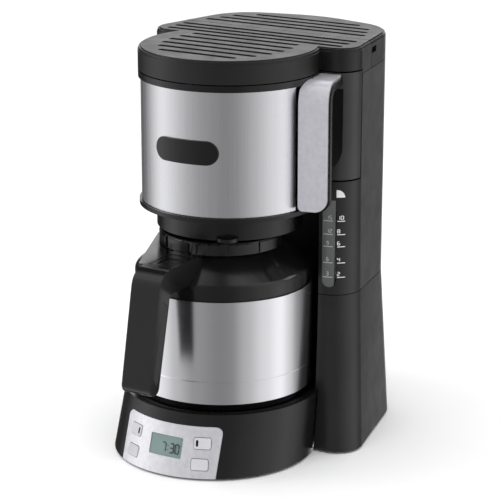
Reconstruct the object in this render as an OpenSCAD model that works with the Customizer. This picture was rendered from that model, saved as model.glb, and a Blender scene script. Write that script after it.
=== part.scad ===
// Drip coffee maker with a thermal jug, a swing-out filter drum and a rear water tank.
// Millimetres, +Z up, front towards -Y. The origin is on the ground under the middle.

/* [Base] */
// Height of the deck that the jug stands on
deck_z = 52; // [42:1:64]
// Radius of the round base at the deck
base_top_r = 82; // [80:0.5:90]
// Radius of the round base at the ground
base_low_r = 84.4; // [82:0.2:92]
// How far the base leans forward at the ground
base_lean = 14.1; // [8:0.5:18]
// Wall of the base housing
base_wall = 4; // [3.6:0.2:5]

/* [Jug] */
// Radius of the steel jug body
jug_r = 75; // [62:0.5:80]
// Height of the steel jug body
jug_steel_h = 87; // [72:1:106]
// Height from the steel body to the top of the jug lid
jug_top_h = 43; // [36:1:52]
// Width of the jug handle
grip_w = 27; // [22:1:33]

/* [Filter drum] */
// Radius of the drum lips
drum_r = 75; // [62:0.5:78]
// Height of the steel drum skin
drum_h = 102.5; // [85:0.5:123]
// How far the drum axis stands behind the jug axis
drum_back = 12; // [10:0.5:14]
// Thickness of the steel skin
skin_t = 0.8; // [0.6:0.1:1.2]

/* [Column] */
// Width of each pillar beside the jug bay
pillar_w = 17.5; // [15:0.5:21]
// Distance from the jug axis to the back of the column
column_back = 163; // [155:1:175]
// Wall of the column casings
wall = 3; // [2.4:0.2:3.4]
// Height of the slotted top cover
lid_h = 19; // [16:0.5:23]

/* [Fits] */
// Gap between the jug and the bay around it
bay_gap = 5; // [4:0.5:6]
// Radius of the door hinge pin
hinge_pin_r = 2; // [1.6:0.1:2.4]
// Radius of the tank lid pin
lid_pin_r = 1.6; // [1.4:0.1:2]
// Radial running clearance of every pin
run_gap = 0.05; // [0.03:0.01:0.1]
// Gap around each button
button_gap = 0.4; // [0.3:0.05:0.6]
// Button width
button_w = 14; // [11.5:0.5:15]
// Button height
button_h = 9.2; // [7.6:0.2:9.6]
// Button travel
button_travel = 1.2; // [1:0.1:1.6]

/* [View] */
// Which node to draw

/* [Hidden] */
$fn = 96;
touch = 0.3;
ground = 2;
back_opening = 60;

// Jug stack
jug_z = deck_z + 0.2;
jug_foot_h = 6;
steel_z = jug_z + jug_foot_h;
steel_top = steel_z + jug_steel_h;
jug_lid_top = steel_top + jug_top_h;
bay_r = jug_r + bay_gap;
neck_r = jug_r * 0.55;
jug_lid_r = jug_r * 0.7;
dome_r = jug_r - 2;
band_h = 8;
round_r = 7;
cone_tilt = 51.5;
dome_top = jug_lid_top - 11;
cone_top_r = neck_r + 6;
vessel_top_r = jug_r - 16;

// Drum stack
skirt_z = jug_lid_top + 2;
skirt_h = 18;
drum_z = skirt_z + skirt_h;
skin_z = drum_z + 4;
skin_top = skin_z + drum_h;
drum_top = skin_top + 5.5;
drum_bay_r = drum_r + 2.5;
skin_r = drum_r - 2;
liner_r = skin_r - skin_t;
liner_t = 2.4;
skin_half_angle = 78.6;

// Column and cover
half_w = max(bay_r, drum_bay_r) + pillar_w;
seam_z = deck_z + 79;
pillar_y = drum_back + 26.3;
column_top = drum_top - 3.5;
cover_z = drum_top + 0.8;
cover_top = cover_z + lid_h;
bay_swap_z = drum_z - 5;
skirt_r = min(60.7, drum_r - 12);
rear_share = 0.42;
rear_corner = 45;
split_y = 86;
foot_y = 16.3;
foot_half_w = half_w + 14;
foot_back = column_back + 4;

// Swing door
hinge_x = -(drum_r + 5);
hinge_y = 32;
hinge_low = drum_z - 2;
hinge_high = column_top + 0.5;
wing_z = drum_z + 22;
wing_t = 12.5;
wing_gap = 1.4;
wing_top = cover_z - 1.2;
wing_back = 60;
wing_left = 66;
pocket_r = 27;
pocket_depth = 6.5;
pocket_z = wing_z + 10 + sqrt(pow(pocket_r, 2) - pow(pocket_r - pocket_depth, 2));
plate_angle = 15;
plate_x = drum_r + 0.2;
plate_y = -5.5;
plate_w = 24.4;
plate_low = drum_z + 5;
plate_t = 2.6;
core_t = 5.5;
bend_r = 18;
bend_z = skin_top - 14;
arm_len = 48;

// Control panel on the leaning front wall
panel_half_w = 45.5;
panel_top = deck_z - 9.5;
panel_t = 1.6;
lean_angle = atan(deck_z / (base_lean + base_low_r - base_top_r));
button_az = 22.8;
upper_button_z = 29.6;
lower_button_z = 13;
window_x = 1.2;
window_z = 24.5;
window_w = 30.5;
window_h = 17.2;

// Water path
riser_x = 25;
riser_y = drum_back + drum_bay_r + wall + 6.5;
hose_x = -25;
hose_y = 125;
heater_z = 26;
heater_r = 44;
heater_y = -4;
tank_z = seam_z + 6;
tank_top = column_top - 6;
tank_wall = 2;
gauge_x = 79.7;
gauge_w = 11.8;
gauge_low = deck_z + 86;
gauge_high = deck_z + 161;

// Slots in the cover
slot_w = 5.6;

// Rear lid hinge
lid_pin_y = column_back + 0.5;
lid_pin_z = cover_z + 1.2;
knuckle_r = 4;

// Every piece is drawn about the jug axis and moved so that the origin is in the middle
grip_y = -(jug_r + 55.3);
y_shift = -(grip_y + lid_pin_y + knuckle_r) / 2;

// ---- shared shapes ----

module place() {
  translate([0, y_shift, 0])
    children();
}

module ring(outer, inner, low, high) {
  translate([0, 0, low])
    difference() {
      cylinder(r = outer, h = high - low);
      translate([0, 0, -1])
        cylinder(r = inner, h = high - low + 2);
    }
}

module slab(low, high) {
  translate([-200, -200, low])
    cube([400, 450, high - low]);
}

function arc(centre, r, from, to, steps) =
  [for (i = [0:steps]) let (a = from + (to - from) * i / steps)
    [centre[0] + r * cos(a), centre[1] + r * sin(a)]];

// Direction of the line that touches two circles on their outer side
function touching(c1, r1, c2, r2) =
  atan2(c1[1] - c2[1], c1[0] - c2[0]) + acos((r2 - r1) / norm(c1 - c2));

// Right half of the column's outline: front corner, rear corner, rounded back
function half_plan(front, half, corner, back, grow) =
  let (
    c1 = [half - corner, front + corner],
    c2 = [half * rear_share, back - 53],
    c3 = [0, back - 110],
    a1 = touching(c1, corner, c2, rear_corner),
    a2 = touching(c2, rear_corner, c3, 110)
  )
  concat(
    arc(c1, corner + grow, -90, a1, 12),
    arc(c2, rear_corner + grow, a1, a2, 14),
    arc(c3, 110 + grow, a2 + 0.5, 89.5, 6)
  );

module column_plan(front, half, corner, back, grow) {
  right = half_plan(front, half, corner, back, grow);
  last = len(right) - 1;
  polygon(concat(right, [for (i = [last:-1:0]) [-right[i][0], right[i][1]]]));
}

// The flared foot of the column, from the ground to the seam
module lower_form(grow) {
  hull() {
    translate([0, 0, ground])
      linear_extrude(0.4)
        column_plan(foot_y, foot_half_w, 22, foot_back, grow);
    translate([0, 0, seam_z - 0.4])
      linear_extrude(0.4)
        column_plan(pillar_y - 1, half_w - 1.5, 23.7, column_back, grow);
  }
}

// The upper column, from the seam to the cover
module upper_form(grow) {
  hull() {
    translate([0, 0, seam_z + 0.6])
      linear_extrude(0.4)
        column_plan(pillar_y - 1, half_w - 1.5, 23.7, column_back, grow);
    translate([0, 0, column_top - 0.4])
      linear_extrude(0.4)
        column_plan(pillar_y, half_w, 18.5, column_back, grow);
  }
}

module top_plan(grow) {
  column_plan(pillar_y, half_w, 18.5, column_back, grow);
}

// The leaning round base
module base_form(grow) {
  hull() {
    translate([0, -base_lean, 0])
      cylinder(r = base_low_r + grow, h = 0.1, $fn = 120);
    translate([0, 0, deck_z - 0.1])
      cylinder(r = base_top_r + grow, h = 0.1, $fn = 120);
  }
}

function wall_y(z) = -base_lean * (1 - z / deck_z);
function wall_r(z) = base_low_r + (base_top_r - base_low_r) * z / deck_z;

// Puts its children on the front wall, their +Z pointing out of it
module on_wall(azimuth, z) {
  translate([wall_r(z) * sin(azimuth), wall_y(z) - wall_r(z) * cos(azimuth), z])
    rotate([0, 0, azimuth])
      rotate([lean_angle, 0, 0])
        children();
}

module rounded(w, h, r) {
  square([w - 2 * r, h], center = true);
  square([w, h - 2 * r], center = true);
  for (sx = [-1, 1], sy = [-1, 1])
    translate([sx * (w / 2 - r), sy * (h / 2 - r)])
      circle(r = r, $fn = 32);
}

module button_prism(azimuth, z, grow, low, high) {
  on_wall(azimuth, z)
    translate([0, 0, low])
      linear_extrude(high - low)
        rounded(button_w + 2 * grow, button_h + 2 * grow, 1.6 + grow);
}

module button_holes() {
  for (side = [-1, 1], z = [upper_button_z, lower_button_z])
    button_prism(side * button_az, z, button_gap, -12, 6);
}

module button(side, z) {
  intersection() {
    button_prism(side * button_az, z, 0, -6.5, 5);
    base_form(0.7);
  }
  button_prism(side * button_az, z, 1.4, -8, -6.5);
}

module lens_slot(side, z, grow, low, high) {
  on_wall(side * button_az, z)
    translate([-side * 4.4, 0, low])
      linear_extrude(high - low)
        rounded(2 + 2 * grow, 5.4 + 2 * grow, 0.9 + grow);
}

module window_prism(grow, low, high) {
  on_wall(asin(window_x / base_low_r), window_z)
    translate([0, 0, low])
      linear_extrude(high - low)
        rounded(window_w + 2 * grow, window_h + 2 * grow, 1.2 + grow);
}

// The outline of the fascia, seen from the front
module panel_outline(grow) {
  corner = 6;
  translate([0, 0, -1])
    rotate([90, 0, 0])
      linear_extrude(150)
        union() {
          translate([-panel_half_w - grow, 0])
            square([2 * (panel_half_w + grow), panel_top + grow + 1 - corner]);
          translate([-panel_half_w - grow + corner, 0])
            square([2 * (panel_half_w + grow - corner), panel_top + grow + 1]);
          for (side = [-1, 1])
            translate([side * (panel_half_w + grow - corner), panel_top + grow + 1 - corner])
              circle(r = corner, $fn = 48);
        }
}

// ---- base ----

// The rear pair follows the rounded rear corner of the foot
rear_screw_x = foot_half_w * rear_share + rear_corner - 9.83;
screw_spots = [
  [-58, -38], [58, -38], [-(foot_half_w - 13), 48], [foot_half_w - 13, 48],
  [-rear_screw_x, 118], [rear_screw_x, 118]
];
foot_spots = [[6, -86], [-54, -60], [54, -60], [-88, 80], [88, 80], [0, 146]];

module base_pan() {
  color([0.1, 0.1, 0.11])
    difference() {
      translate([0, 0, ground])
        linear_extrude(2.5)
          union() {
            translate([0, -base_lean * 0.93])
              circle(r = base_low_r - base_wall - 0.8, $fn = 120);
            difference() {
              column_plan(foot_y, foot_half_w, 22, foot_back, -wall - 1);
              translate([0, -base_lean * 0.93])
                circle(r = base_low_r + 1.2, $fn = 120);
            }
            translate([-back_opening + 0.6, 0])
              square([2 * back_opening - 1.2, 100]);
          }
      for (spot = concat(screw_spots, foot_spots))
        translate([spot[0], spot[1], 0])
          cylinder(r = 2.2, h = 10);
      for (i = [-3:3])
        translate([i * 9 - 2, 84, 0])
          cube([4, 30, 10]);
    }
}

module rubber_feet() {
  color([0.06, 0.06, 0.06])
    for (spot = foot_spots)
      translate([spot[0], spot[1], 0]) {
        cylinder(r1 = 7.2, r2 = 8, h = ground);
        translate([0, 0, ground])
          cylinder(r = 2.2, h = 2.5);
        translate([0, 0, ground + 2.5])
          cylinder(r1 = 3.4, r2 = 2, h = 2);
      }
}

module base_screws() {
  color([0.6, 0.6, 0.62])
    for (spot = screw_spots)
      translate([spot[0], spot[1], 0.4]) {
        difference() {
          cylinder(r = 3.6, h = ground - 0.4);
          translate([-2.4, -0.4, -1])
            cube([4.8, 0.8, 1.8]);
          translate([-0.4, -2.4, -1])
            cube([0.8, 4.8, 1.8]);
        }
        cylinder(r = 1.7, h = 14);
      }
}

module screw_boss(spot, high) {
  translate([spot[0], spot[1], ground + 2.8])
    difference() {
      cylinder(r = 4.4, h = high - ground - 2.8);
      translate([0, 0, -1])
        cylinder(r = 1.7, h = 14);
    }
}

module base_housing() {
  color([0.09, 0.09, 0.1])
    difference() {
      union() {
        difference() {
          intersection() {
            base_form(0);
            slab(ground, deck_z);
          }
          difference() {
            base_form(-base_wall);
            slab(deck_z - 3, deck_z + 1);
          }
          // the recess that the fascia lies in
          intersection() {
            difference() {
              base_form(2);
              base_form(-panel_t);
            }
            panel_outline(0.35);
          }
          translate([0, 0, deck_z - 2])
            cylinder(r = base_top_r - 5.5, h = 4);
        }
        for (i = [0, 1])
          intersection() {
            screw_boss(screw_spots[i], deck_z - 2.5);
            slab(ground, deck_z - 2.5);
          }
      }
      button_holes();
      window_prism(0.3, -12, 6);
      // the open back, inside the column
      translate([-back_opening, 30, 0])
        cube([2 * back_opening, 60, deck_z - 8]);
    }
}

module jug_deck() {
  color([0.05, 0.05, 0.055])
    translate([0, 0, deck_z - 2])
      difference() {
        cylinder(r = base_top_r - 5.8, h = 2);
        translate([0, 0, 1.2])
          ring(jug_r - 7, jug_r - 8, 0, 3);
        translate([0, 0, 1.2])
          ring(jug_r - 20, jug_r - 21, 0, 3);
      }
}

module control_fascia() {
  color([0.8, 0.8, 0.82])
    difference() {
      intersection() {
        difference() {
          base_form(0);
          base_form(-panel_t);
        }
        panel_outline(0);
        slab(ground, deck_z);
      }
      button_holes();
      window_prism(0, -12, 6);
    }
}

module display_window() {
  color([0.55, 0.63, 0.6])
    intersection() {
      window_prism(-0.05, -3.2, 4);
      base_form(-0.7);
    }
}

module display_module() {
  color([0.2, 0.24, 0.22])
    on_wall(asin(window_x / base_low_r), window_z)
      translate([0, 0, -9.8])
        difference() {
          linear_extrude(2.6)
            rounded(window_w + 6, window_h + 4.5, 1);
          translate([0, 0, 1.6])
            linear_extrude(3)
              rounded(window_w - 2, window_h - 2, 0.5);
        }
}

module control_board() {
  color([0.1, 0.32, 0.16])
    on_wall(0, 22)
      translate([0, 0, -18.6])
        difference() {
          translate([-30, -12, 0])
            cube([60, 26, 1.6]);
          for (side = [-1, 1])
            translate([side * 16, -8, -1])
              cylinder(r = 1.5, h = 4);
        }
  // switches behind the four buttons
  color([0.15, 0.15, 0.16])
    on_wall(0, 22)
      for (side = [-1, 1], y = [-7, 8])
        translate([side * 26.5, y, -17])
          cylinder(r = 2.4, h = 1.2);
}

module board_screws() {
  color([0.66, 0.66, 0.68])
    on_wall(0, 22)
      for (side = [-1, 1])
        translate([side * 16, -8, -21.6]) {
          cylinder(r = 1.5, h = 4.6);
          translate([0, 0, 4.6])
            cylinder(r = 2.8, h = 1.4);
        }
}

module power_button() {
  color([0.76, 0.76, 0.78])
    difference() {
      button(-1, upper_button_z);
      lens_slot(-1, upper_button_z, 0, -3, 6);
    }
}

module power_lens() {
  color([0.12, 0.12, 0.13])
    intersection() {
      lens_slot(-1, upper_button_z, 0, -3, 6);
      base_form(0.55);
    }
}

module timer_button() {
  color([0.76, 0.76, 0.78])
    button(-1, lower_button_z);
}

module strength_button() {
  color([0.76, 0.76, 0.78])
    difference() {
      button(1, upper_button_z);
      lens_slot(1, upper_button_z, 0, -3, 6);
    }
}

module strength_lens() {
  color([0.12, 0.12, 0.13])
    intersection() {
      lens_slot(1, upper_button_z, 0, -3, 6);
      base_form(0.55);
    }
}

module clock_button() {
  color([0.76, 0.76, 0.78])
    button(1, lower_button_z);
}

// ---- heater and water path ----

module elbow(x, y, z, r) {
  translate([x, y, z])
    sphere(r = r);
}

module tube_y(x, z, from, to, r) {
  translate([x, from, z])
    rotate([-90, 0, 0])
      cylinder(r = r, h = to - from);
}

module heater_arc(r_tube) {
  translate([0, heater_y, heater_z])
    rotate_extrude(angle = 300, start = 120)
      translate([heater_r, 0])
        circle(r = r_tube, $fn = 32);
}

module flow_heater() {
  color([0.72, 0.72, 0.72])
    difference() {
      union() {
        translate([0, heater_y, heater_z])
          rotate_extrude(angle = 316, start = 112)
            translate([heater_r - 7, -6])
              square([14, 12]);
        for (a = [120, 60])
          translate([heater_r * cos(a), heater_y + heater_r * sin(a), heater_z])
            cylinder(r = 6, h = 8);
      }
      heater_arc(3.4);
      for (a = [120, 60])
        translate([heater_r * cos(a), heater_y + heater_r * sin(a), heater_z])
          cylinder(r = 4, h = 9);
    }
}

module heater_clamps() {
  color([0.62, 0.62, 0.64])
    for (a = [-150, -30])
      translate([heater_r * cos(a), heater_y + heater_r * sin(a), 0])
        rotate([0, 0, a]) {
          translate([-11, -5, heater_z - 7.8])
            cube([22, 10, 1.6]);
          for (x = [-11, 9.4])
            translate([x, -5, heater_z - 7.8])
              cube([1.6, 10, deck_z - 3 - heater_z + 7.8]);
        }
}

module thermostat() {
  color([0.3, 0.28, 0.26])
    translate([0, heater_y - heater_r, heater_z + 6])
      cylinder(r = 6.5, h = 9);
}

module elbow_hose(x, y_back, r) {
  ox = sign(x) * heater_r * 0.5;
  oy = heater_y + heater_r * sin(60);
  elbow(ox, oy, heater_z + 14, r);
  tube_y(ox, heater_z + 14, oy, y_back, r);
  elbow(ox, y_back, heater_z + 14, r);
  translate([ox, oy, heater_z + 4])
    cylinder(r = 4, h = 10);
}

module inlet_hose() {
  color([0.75, 0.75, 0.72, 0.8])
    difference() {
      union() {
        elbow_hose(hose_x, hose_y, 4);
        translate([-heater_r * 0.5, hose_y, heater_z + 14])
          cylinder(r = 4, h = seam_z - 13 - heater_z - 14);
      }
      translate([-heater_r * 0.5, hose_y, heater_z + 14])
        cylinder(r = 2.6, h = seam_z);
    }
}

module riser_tube() {
  color([0.8, 0.8, 0.78, 0.8])
    difference() {
      union() {
        elbow_hose(riser_x, riser_y, 4);
        translate([heater_r * 0.5, riser_y, heater_z + 14])
          cylinder(r = 4, h = cover_z + 4 - heater_z - 14);
      }
      translate([heater_r * 0.5, riser_y, heater_z + 14])
        cylinder(r = 2.6, h = cover_top);
    }
}

module check_valve() {
  color([0.85, 0.85, 0.83])
    translate([-heater_r * 0.5, hose_y, seam_z - 12.7])
      difference() {
        cylinder(r = 7, h = 12);
        translate([0, 0, -1])
          cylinder(r = 2.6, h = 14);
      }
}

module cord_gland() {
  color([0.07, 0.07, 0.07])
    translate([-46, 0, 22])
      difference() {
        union() {
          tube_y(0, 0, foot_back - 22, foot_back - 2, 6);
          tube_y(0, 0, foot_back - 22, foot_back - 19, 9);
        }
        tube_y(0, 0, foot_back - 40, foot_back + 10, 3.4);
      }
}

// ---- column ----

module column_lower() {
  color([0.09, 0.09, 0.1])
    difference() {
      union() {
        difference() {
          lower_form(0);
          difference() {
            lower_form(-wall);
            translate([0, 0, deck_z])
              cylinder(r = bay_r + wall, h = seam_z);
          }
        }
        for (i = [2:5])
          screw_boss(screw_spots[i], 60);
      }
      // the open bottom
      translate([0, 0, -1])
        linear_extrude(ground + 3.8)
          column_plan(foot_y, foot_half_w, 22, foot_back, -wall - 0.7);
      // the round base fits in the foot
      base_form(0.5);
      // the jug bay
      translate([0, 0, deck_z - 0.2])
        cylinder(r = bay_r, h = seam_z);
      // the hole for the cord gland
      tube_y(-46, 22, foot_back - 40, foot_back + 10, 6.3);
    }
}

module bays(grow) {
  translate([0, 0, seam_z - 5])
    cylinder(r = bay_r + grow, h = bay_swap_z - seam_z + 5 + grow);
  // room for the skirt behind a small jug
  translate([0, drum_back, skirt_z - bay_gap])
    cylinder(r = skirt_r + bay_gap + grow, h = bay_swap_z - skirt_z + bay_gap + grow);
  translate([0, drum_back, bay_swap_z - grow])
    cylinder(r = drum_bay_r + grow, h = cover_top);
}

// The corner block that swings away with the door
module wing_block(gap) {
  translate([wing_left - gap, 0, wing_z - gap])
    cube([60, wing_back + gap, cover_top]);
}

module tank_housing() {
  color([0.09, 0.09, 0.1])
    difference() {
      union() {
        difference() {
          upper_form(0);
          difference() {
            upper_form(-wall);
            bays(wall);
            slab(seam_z, seam_z + 4);
            wing_block(wing_gap + 2.4);
          }
        }
        // lugs that carry the door hinge pin
        for (z = [hinge_low - 8, hinge_high - 5])
          translate([hinge_x, hinge_y, z]) {
            cylinder(r = 5, h = 5);
            translate([-4, 0, 0])
              cube([6, pillar_y - hinge_y + 3, 5]);
          }
        // lugs that carry the tank lid pin
        for (side = [-1, 1])
          translate([side * 22 - 3.5, 0, 0])
            rotate([90, 0, 90])
              linear_extrude(7)
                union() {
                  translate([lid_pin_y, lid_pin_z])
                    circle(r = knuckle_r, $fn = 48);
                  polygon([
                    [lid_pin_y + knuckle_r, lid_pin_z], [lid_pin_y - knuckle_r, lid_pin_z],
                    [column_back - 4.5, column_top - 16], [column_back - 1, column_top - 16]
                  ]);
                }
      }
      bays(0);
      wing_block(wing_gap);
      // the top stays open for the tank
      translate([0, 0, column_top - 4])
        linear_extrude(20)
          difference() {
            offset(delta = -wall)
              top_plan(0);
            translate([0, drum_back])
              circle(r = drum_bay_r + wall);
            translate([wing_left - wall, -10])
              square([60, wing_back + wall + 10]);
            translate([-35, column_back - 12])
              square([70, 30]);
          }
      // the gauge slot
      gauge_prism(0, pillar_y - 10, pillar_y + 16);
      // tubes through the floor
      translate([-heater_r * 0.5, hose_y, seam_z - 3])
        cylinder(r = 5, h = 12);
      translate([heater_r * 0.5, riser_y, seam_z - 3])
        cylinder(r = 4.6, h = 12);
      translate([hinge_x, hinge_y, hinge_low - 20])
        cylinder(r = hinge_pin_r, h = cover_top);
      translate([-40, lid_pin_y, lid_pin_z])
        rotate([0, 90, 0])
          cylinder(r = lid_pin_r + run_gap, h = 80);
    }
}

module gauge_prism(grow, from, to) {
  low = gauge_low - grow;
  high = gauge_high + grow;
  half = gauge_w / 2 + grow;
  translate([gauge_x, to, 0])
    rotate([90, 0, 0])
      linear_extrude(to - from)
        union() {
          translate([-half, low + half])
            square([2 * half, high - low - half]);
          translate([0, low + half])
            circle(r = half, $fn = 48);
        }
}

module tank_plan(grow) {
  difference() {
    column_plan(pillar_y, half_w - 1.5, 23.7, column_back, grow - wall - 1.2);
    translate([0, drum_back])
      circle(r = drum_bay_r + wall + 1.5 - grow);
    circle(r = bay_r + wall + 1.5 - grow);
    translate([-8 + grow, 60])
      square([50 - 2 * grow, riser_y - 60 + 8 - grow]);
    translate([-half_w, 0])
      square([half_w, 90]);
  }
}

module water_tank() {
  color([0.35, 0.38, 0.42, 0.55])
    difference() {
      union() {
        difference() {
          translate([0, 0, tank_z])
            linear_extrude(wing_z - 8 - tank_z)
              tank_plan(0);
          translate([0, 0, tank_z + tank_wall])
            linear_extrude(cover_top)
              tank_plan(-tank_wall);
        }
        difference() {
          translate([0, 0, wing_z - 8])
            linear_extrude(tank_top - wing_z + 8)
              intersection() {
                tank_plan(0);
                translate([-200, wing_back + wall + 4])
                  square([400, 200]);
              }
          translate([0, 0, tank_z])
            linear_extrude(cover_top)
              intersection() {
                tank_plan(-tank_wall);
                translate([-200, wing_back + wall + 4 + tank_wall])
                  square([400, 200]);
              }
        }
        translate([0, 0, wing_z - 8 - tank_wall])
          linear_extrude(tank_wall)
            difference() {
              tank_plan(0);
              translate([-200, wing_back + wall + 4 + tank_wall])
                square([400, 200]);
            }
        translate([-heater_r * 0.5, hose_y, seam_z - 0.5])
          cylinder(r = 4.6, h = tank_z - seam_z + 1);
      }
      translate([-heater_r * 0.5, hose_y, seam_z - 2])
        cylinder(r = 2.6, h = 20);
    }
}

module gauge_window() {
  color([0.16, 0.17, 0.18, 0.7])
    intersection() {
      gauge_prism(0, pillar_y - 10, pillar_y + 2.4);
      upper_form(-0.5);
    }
}

mark_heights = [8.7, 21.2, 35.2, 45.7, 57.2];

module mark_prism(x, width) {
  translate([x, pillar_y + 12, 0])
    rotate([90, 0, 0])
      linear_extrude(30)
        union() {
          for (h = mark_heights)
            translate([0, gauge_low + h])
              square([width, 0.8]);
          intersection() {
            translate([0, gauge_high])
              square([width, 9]);
            translate([x < gauge_x ? width : 0, gauge_high])
              circle(r = width, $fn = 64);
          }
        }
}

module gauge_marks() {
  color([0.9, 0.9, 0.9]) {
    // on the window
    intersection() {
      mark_prism(gauge_x - 4.9, 9.4);
      slab(gauge_low, gauge_high - 1);
      difference() {
        upper_form(-0.2);
        upper_form(-0.5);
      }
    }
    // on the casing beside and above it
    intersection() {
      union() {
        mark_prism(gauge_x + 6.6, 8);
        intersection() {
          mark_prism(gauge_x - 4.9, 9.4);
          slab(gauge_high, gauge_high + 12);
        }
      }
      difference() {
        upper_form(0.25);
        upper_form(0);
      }
    }
  }
}

// ---- top ----

module cover_form(from, to, inset) {
  translate([0, 0, from])
    linear_extrude(to - from)
      offset(delta = -inset)
        union() {
          top_plan(0);
          translate([0, drum_back])
            circle(r = drum_r, $fn = 144);
        }
}

module slot(y, half, depth) {
  translate([0, y, cover_top - depth])
    linear_extrude(depth + 1)
      union() {
        square([2 * half - slot_w, slot_w], center = true);
        for (side = [-1, 1])
          translate([side * (half - slot_w / 2), 0])
            circle(r = slot_w / 2, $fn = 32);
      }
}

function drum_half(y) = sqrt(pow(drum_r, 2) - pow(y - drum_back, 2));

module front_slots() {
  for (y = [-37.3, -22.7, -8, 6.7, 21.4, 36])
    slot(y, min(drum_half(y) - 20, 58), 1.8);
  for (y = [49, 61, 73])
    slot(y, half_w - 13, 1.8);
}

module cover_shell() {
  difference() {
    union() {
      cover_form(cover_z, cover_top - 3, 0);
      cover_form(cover_top - 3.01, cover_top - 1, 0.8);
      cover_form(cover_top - 1.01, cover_top, 2.4);
      // side skirts over the column
      translate([0, 0, column_top + 0.4])
        linear_extrude(cover_z - column_top)
          difference() {
            top_plan(0);
            offset(delta = -2.4)
              top_plan(0);
            translate([0, drum_back])
              circle(r = drum_r + 0.9);
            translate([-200, -200])
              square([400, 200 + wing_back + 1]);
          }
    }
    cover_form(cover_z - 10, cover_top - 3.4, 3);
  }
}

module top_cover() {
  color([0.09, 0.09, 0.1])
    difference() {
      intersection() {
        cover_shell();
        translate([-200, -200, 0])
          cube([400, 200 + split_y - 0.3, 400]);
      }
      front_slots();
    }
}

module spray_arm() {
  color([0.8, 0.8, 0.78])
    difference() {
      union() {
        translate([heater_r * 0.5, riser_y, cover_z + 4])
          cylinder(r = 6, h = 7);
        hull() {
          translate([heater_r * 0.5, riser_y, cover_z + 6])
            cylinder(r = 4, h = 5, $fn = 32);
          translate([0, drum_back, cover_z + 6])
            cylinder(r = 4, h = 5, $fn = 32);
        }
      }
      translate([heater_r * 0.5, riser_y, cover_z])
        cylinder(r = 2.6, h = 8);
    }
}

module spray_head() {
  color([0.12, 0.12, 0.13])
    translate([0, drum_back, cover_z + 0.6])
      difference() {
        cylinder(r = 30, h = 5.2);
        translate([0, 0, -1])
          for (a = [0:30:330])
            rotate([0, 0, a])
              for (x = [12, 24])
                translate([x, 0, 0])
                  cylinder(r = 1.3, h = 4, $fn = 24);
      }
}

module tank_lid() {
  color([0.09, 0.09, 0.1])
    difference() {
      union() {
        intersection() {
          cover_shell();
          translate([-200, split_y + 0.3, 0])
            cube([400, 200, 400]);
        }
        // knuckle on the hinge
        translate([-17.5, 0, 0])
          rotate([90, 0, 90])
            linear_extrude(35)
              union() {
                translate([lid_pin_y, lid_pin_z])
                  circle(r = knuckle_r, $fn = 48);
                polygon([
                  [lid_pin_y, lid_pin_z - knuckle_r], [lid_pin_y + 3, lid_pin_z + 2.6],
                  [column_back - 2, cover_z + 11], [column_back - 4, cover_z + 2]
                ]);
              }
      }
      for (y = [100, 113, 126])
        slot(y, half_w - 17 - (y - 94) * 0.4, 1.8);
      slot(139, half_w - 46, 1.8);
      // room for the housing lugs
      for (side = [-1, 1])
        translate([side * 22 - 4.2, column_back - 13, column_top - 5])
          cube([8.4, 30, lid_pin_z + knuckle_r + 1 - column_top + 5]);
      // rear skirt clears the hinge
      translate([-28, column_back - 6, column_top - 5])
        cube([56, 6.2, 7]);
      translate([-40, lid_pin_y, lid_pin_z])
        rotate([0, 90, 0])
          cylinder(r = lid_pin_r, h = 80);
      // finger slot at the split, on both sides
      for (side = [-1, 1])
        translate([side * (half_w - 4.5) - 6, split_y - 1, cover_z + 8])
          cube([12, 13, 5]);
    }
}

module tank_lid_pin() {
  color([0.7, 0.7, 0.72])
    translate([-27, lid_pin_y, lid_pin_z])
      rotate([0, 90, 0])
        cylinder(r = lid_pin_r, h = 54);
}

// ---- swing door ----

module door_hinge_pin() {
  color([0.7, 0.7, 0.72])
    translate([hinge_x, hinge_y, hinge_low - 8])
      cylinder(r = hinge_pin_r, h = hinge_high - hinge_low + 8);
}

module door_shell() {
  color([0.06, 0.06, 0.065])
    difference() {
      union() {
        translate([0, drum_back, 0]) {
          // wall behind the steel skin
          translate([0, 0, drum_z])
            rotate_extrude(angle = 230, start = 155)
              translate([liner_r - liner_t, 0])
                square([liner_t - 0.2, drum_top - drum_z]);
          // top and bottom lips
          translate([0, 0, skin_top + 0.2])
            rotate_extrude(angle = 220, start = 160)
              translate([liner_r - 0.4, 0])
                square([drum_r - liner_r + 0.4, drum_top - skin_top - 0.2]);
          translate([0, 0, drum_z])
            rotate_extrude(angle = 220, start = 160)
              translate([liner_r - 0.4, 0])
                square([drum_r - liner_r + 0.4, skin_z - drum_z - 0.2]);
          // floor with the opening for the basket
          translate([0, 0, drum_z])
            difference() {
              cylinder(r = liner_r - 0.4, h = 2.4);
              translate([0, 0, -1])
                cylinder(r = 48, h = 6);
            }
          // skirt under the floor
          ring(skirt_r, skirt_r - 3.2, skirt_z, drum_z + 0.1);
        }
        // side walls beside the skin, flush with the lips
        for (start = [-8, 165.5])
          translate([0, drum_back, skin_z - 0.3])
            rotate_extrude(angle = 22.5, start = start)
              translate([liner_r - 0.4, 0])
                square([drum_r - liner_r + 0.4, skin_top - skin_z + 0.6]);
        // finger tab on the skirt
        translate([0, drum_back, skirt_z])
          rotate([0, 0, -60])
            translate([skirt_r - 1, 0, 0])
              difference() {
                cylinder(r = 9, h = 3);
                translate([-20, -10, -1])
                  cube([20, 20, 5]);
              }
        // hinge knuckle
        translate([hinge_x, hinge_y, hinge_low])
          cylinder(r = 4.6, h = hinge_high - 6 - hinge_low);
        translate([hinge_x, hinge_y - 9, drum_z + 6])
          cube([8.5, 7, skin_top - drum_z - 12]);
      }
      translate([hinge_x, hinge_y, hinge_low - 1])
        cylinder(r = hinge_pin_r + run_gap, h = cover_top);
    }
}

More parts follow.
